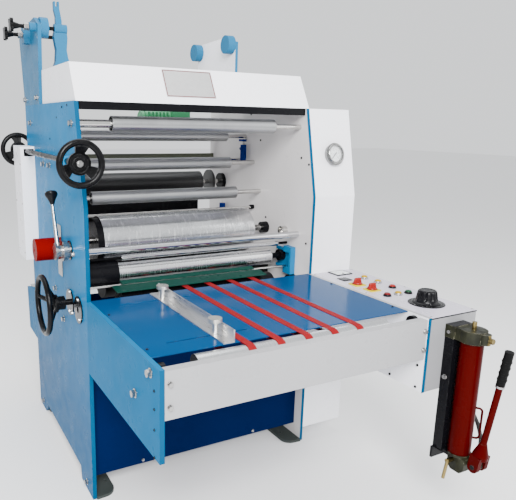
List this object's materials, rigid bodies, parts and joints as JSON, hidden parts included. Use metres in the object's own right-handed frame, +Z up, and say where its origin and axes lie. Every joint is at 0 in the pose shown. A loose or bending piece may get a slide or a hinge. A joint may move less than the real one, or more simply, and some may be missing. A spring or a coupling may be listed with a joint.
{
  "type": "roll laminator",
  "caption": "Floor-standing roll laminator with a feed table of running tapes, heated drum and rubber press roller, guide rollers, side cabinet, control console and hydraulic hand pump.",
  "frame": {"origin": "on the floor, at the centre of the four anchor holes in the foot pads", "axes": "+X towards the cabinet (the operator's right), +Y from the feed table to the delivery side, +Z up"},
  "size_m": [1.341, 2.0171, 1.912],
  "materials": {
    "blue_paint": "gloss sky-blue enamel on steel plate",
    "navy_paint": "gloss mid-blue enamel on sheet steel",
    "white_paint": "gloss white enamel on sheet steel",
    "grey_paint": "satin light-grey enamel",
    "black_paint": "semi-gloss black enamel",
    "green_paint": "satin green enamel",
    "red_paint": "gloss dark red enamel",
    "pump_castings": "dark olive cast iron, lightly oiled",
    "black_iron": "black enamelled cast iron",
    "steel": "bright turned and zinc-plated steel",
    "chrome": "polished hard chrome",
    "aluminium": "turned and anodised aluminium",
    "roller_rubber": "ground black rubber",
    "tape": "red woven tape with a rubbery face",
    "hose": "black hydraulic hose with brass ends",
    "control_plastic": "black phenolic",
    "fittings": "yellow legend plates, black meters and dial",
    "button_yellow": "translucent yellow plastic",
    "button_red": "red plastic",
    "button_green": "dark green plastic",
    "selector_red": "orange-red plastic"
  },
  "bodies": {
    "root": {"side_plate_left": "blue_paint", "side_plate_right": "white_paint", "table_plates": "blue_paint", "foot_pads": "black_paint", "cross_shafts": "steel", "plate_bolts": "steel", "frame_panels": "navy_paint", "hood": "white_paint", "gear_case": "white_paint", "cabinet": "white_paint", "console_box": "white_paint", "console_panel": "grey_paint", "panel_fittings": "fittings", "table_sheet": "navy_paint", "table_front": "grey_paint", "feed_tapes": "tape", "guide_plates": "green_paint", "shaft_bearings": "black_paint", "ram_cylinders": "navy_paint", "end_canister": "red_paint", "unwind_brackets": "blue_paint", "drive_motor": "green_paint", "drive_chain": "steel", "pump_frame": "pump_castings", "pump_reservoir": "red_paint", "pump_hose": "hose", "gauge_case": "chrome"},
    "drive_shaft": {"drive_shaft": "steel"},
    "pump_handle": {"pump_handle": "red_paint"},
    "release_valve": {"release_valve": "steel"},
    "gauge_needle": {"gauge_needle": "black_paint"},
    "top_crank": {"top_crank": "black_iron"},
    "nip_crank": {"nip_crank": "black_iron"},
    "nip_lever": {"nip_lever": "steel"},
    "guide_roller_1": {"guide_roller_1": "aluminium"},
    "guide_roller_2": {"guide_roller_2": "aluminium"},
    "guide_roller_3": {"guide_roller_3": "aluminium"},
    "guide_roller_4": {"guide_roller_4": "aluminium"},
    "nip_roller": {"nip_roller": "chrome"},
    "drum": {"drum": "chrome"},
    "press_roller": {"press_roller": "roller_rubber"},
    "press_carriage": {"press_carriage": "black_iron"},
    "rear_roller": {"rear_roller": "roller_rubber"},
    "table_roller": {"table_roller": "aluminium"},
    "tape_roller": {"tape_roller": "aluminium"},
    "adjuster_screw_1": {"adjuster_screw_1": "black_iron"},
    "adjuster_screw_2": {"adjuster_screw_2": "black_iron"},
    "brake_arm": {"brake_arm": "blue_paint"},
    "lay_guide": {"lay_guide": "aluminium"},
    "guide_knob_1": {"guide_knob_1": "aluminium"},
    "guide_knob_2": {"guide_knob_2": "aluminium"},
    "button_1": {"button_1": "button_yellow"},
    "button_2": {"button_2": "button_yellow"},
    "button_3": {"button_3": "button_red"},
    "button_4": {"button_4": "button_green"},
    "button_5": {"button_5": "button_red"},
    "button_6": {"button_6": "button_yellow"},
    "selector_1": {"selector_1": "selector_red"},
    "selector_2": {"selector_2": "selector_red"},
    "speed_knob": {"speed_knob": "control_plastic"}
  },
  "joints": [
    {"name": "drum_spin", "type": "hinge", "parent": "root", "child": "drum", "pos_m": [0.0335, -0.119, 0.954], "axis": [1, 0, 0], "continuous": true},
    {"name": "press_lift", "type": "slide", "parent": "root", "child": "press_carriage", "axis": [0, 0, 1], "range_m": [-0.012, 0]},
    {"name": "press_roller_spin", "type": "hinge", "parent": "press_carriage", "child": "press_roller", "pos_m": [0.0345, -0.119, 0.779], "axis": [1, 0, 0], "continuous": true},
    {"name": "tape_roller_spin", "type": "hinge", "parent": "root", "child": "tape_roller", "pos_m": [-0.0005, -0.358, 0.742], "axis": [1, 0, 0], "continuous": true},
    {"name": "table_roller_spin", "type": "hinge", "parent": "root", "child": "table_roller", "pos_m": [-0.0205, -1.066, 0.771], "axis": [1, 0, 0], "continuous": true},
    {"name": "drive_shaft_spin", "type": "hinge", "parent": "root", "child": "drive_shaft", "pos_m": [0.4045, 0.414, 1.44], "axis": [1, 0, 0], "continuous": true},
    {"name": "guide_roller_1_spin", "type": "hinge", "parent": "root", "child": "guide_roller_1", "pos_m": [0.0065, -0.351, 1.424], "axis": [1, 0, 0], "continuous": true},
    {"name": "guide_roller_2_spin", "type": "hinge", "parent": "root", "child": "guide_roller_2", "pos_m": [0.0065, 0.095, 1.375], "axis": [1, 0, 0], "continuous": true},
    {"name": "guide_roller_3_spin", "type": "hinge", "parent": "root", "child": "guide_roller_3", "pos_m": [0.0065, 0.012, 1.253], "axis": [1, 0, 0], "continuous": true},
    {"name": "guide_roller_4_spin", "type": "hinge", "parent": "root", "child": "guide_roller_4", "pos_m": [0.0065, -0.051, 1.119], "axis": [1, 0, 0], "continuous": true},
    {"name": "nip_roller_spin", "type": "hinge", "parent": "root", "child": "nip_roller", "pos_m": [0.0335, -0.272, 0.85], "axis": [1, 0, 0], "continuous": true},
    {"name": "rear_roller_spin", "type": "hinge", "parent": "root", "child": "rear_roller", "pos_m": [-0.0085, 0.324, 1.135], "axis": [1, 0, 0], "continuous": true},
    {"name": "top_crank_turn", "type": "hinge", "parent": "root", "child": "top_crank", "pos_m": [-0.5375, 0.034, 1.297], "axis": [0, 1, 0], "continuous": true},
    {"name": "nip_crank_turn", "type": "hinge", "parent": "root", "child": "nip_crank", "pos_m": [-0.5555, -0.238, 0.74], "axis": [1, 0, 0], "continuous": true},
    {"name": "nip_lever_throw", "type": "hinge", "parent": "root", "child": "nip_lever", "pos_m": [-0.5255, -0.261, 0.952], "axis": [1, 0, 0], "range_deg": [0, 60]},
    {"name": "adjuster_screw_1_turn", "type": "hinge", "parent": "root", "child": "adjuster_screw_1", "pos_m": [-0.4955, 0.162, 1.806], "axis": [1, 0, 0], "range_deg": [-720, 720]},
    {"name": "adjuster_screw_2_turn", "type": "hinge", "parent": "root", "child": "adjuster_screw_2", "pos_m": [-0.4955, 0.301, 1.79], "axis": [1, 0, 0], "range_deg": [-720, 720]},
    {"name": "brake_arm_swing", "type": "hinge", "parent": "root", "child": "brake_arm", "pos_m": [-0.4035, 0.162, 1.806], "axis": [1, 0, 0], "range_deg": [-4, 12]},
    {"name": "lay_guide_slide", "type": "slide", "parent": "root", "child": "lay_guide", "axis": [1, 0, 0], "range_m": [-0.155, 0.017]},
    {"name": "guide_knob_1_turn", "type": "hinge", "parent": "lay_guide", "child": "guide_knob_1", "pos_m": [-0.2455, -0.95, 0.805], "axis": [0, 0, 1], "range_deg": [0, 360]},
    {"name": "guide_knob_2_turn", "type": "hinge", "parent": "lay_guide", "child": "guide_knob_2", "pos_m": [-0.2455, -0.546, 0.805], "axis": [0, 0, 1], "range_deg": [0, 360]},
    {"name": "button_1_press", "type": "slide", "parent": "root", "child": "button_1", "axis": [0, 0, -1], "range_m": [0, 0.004], "stiffness_N_per_m": 250, "springref_m": -0.004},
    {"name": "button_2_press", "type": "slide", "parent": "root", "child": "button_2", "axis": [0, 0, -1], "range_m": [0, 0.004], "stiffness_N_per_m": 250, "springref_m": -0.004},
    {"name": "button_3_press", "type": "slide", "parent": "root", "child": "button_3", "axis": [0, 0, -1], "range_m": [0, 0.004], "stiffness_N_per_m": 250, "springref_m": -0.004},
    {"name": "button_4_press", "type": "slide", "parent": "root", "child": "button_4", "axis": [0, 0, -1], "range_m": [0, 0.004], "stiffness_N_per_m": 250, "springref_m": -0.004},
    {"name": "button_5_press", "type": "slide", "parent": "root", "child": "button_5", "axis": [0, 0, -1], "range_m": [0, 0.004], "stiffness_N_per_m": 250, "springref_m": -0.004},
    {"name": "button_6_press", "type": "slide", "parent": "root", "child": "button_6", "axis": [0, 0, -1], "range_m": [0, 0.004], "stiffness_N_per_m": 250, "springref_m": -0.004},
    {"name": "selector_1_turn", "type": "hinge", "parent": "root", "child": "selector_1", "pos_m": [0.5575, -0.688, 0.804], "axis": [0, 0, 1], "range_deg": [-45, 45]},
    {"name": "selector_2_turn", "type": "hinge", "parent": "root", "child": "selector_2", "pos_m": [0.5575, -0.773, 0.804], "axis": [0, 0, 1], "range_deg": [-45, 45]},
    {"name": "speed_knob_turn", "type": "hinge", "parent": "root", "child": "speed_knob", "pos_m": [0.6165, -0.993, 0.803], "axis": [0, 0, -1], "range_deg": [0, 300]},
    {"name": "pump_handle_swing", "type": "hinge", "parent": "root", "child": "pump_handle", "pos_m": [0.6245, -1.275, 0.29], "axis": [1, 0, 0], "range_deg": [0, 60]},
    {"name": "release_valve_turn", "type": "hinge", "parent": "root", "child": "release_valve", "pos_m": [0.5595, -1.204, 0.288], "axis": [1, 0, 0], "range_deg": [-60, 60]},
    {"name": "gauge_needle_sweep", "type": "hinge", "parent": "root", "child": "gauge_needle", "pos_m": [0.6025, -0.42882, 1.309], "axis": [0, 0.9779, -0.209], "range_deg": [0, 270], "stiffness_Nm_per_rad": 0.003, "springref_deg": -11.46}
  ],
  "couplings": [
    {"joint": "press_roller_spin", "follows": "drum_spin", "ratio": -1.3405},
    {"joint": "tape_roller_spin", "follows": "drum_spin", "ratio": -1.6863},
    {"joint": "table_roller_spin", "follows": "drum_spin", "ratio": -3.3003},
    {"joint": "drive_shaft_spin", "follows": "drum_spin", "ratio": 1.6667}
  ]
}
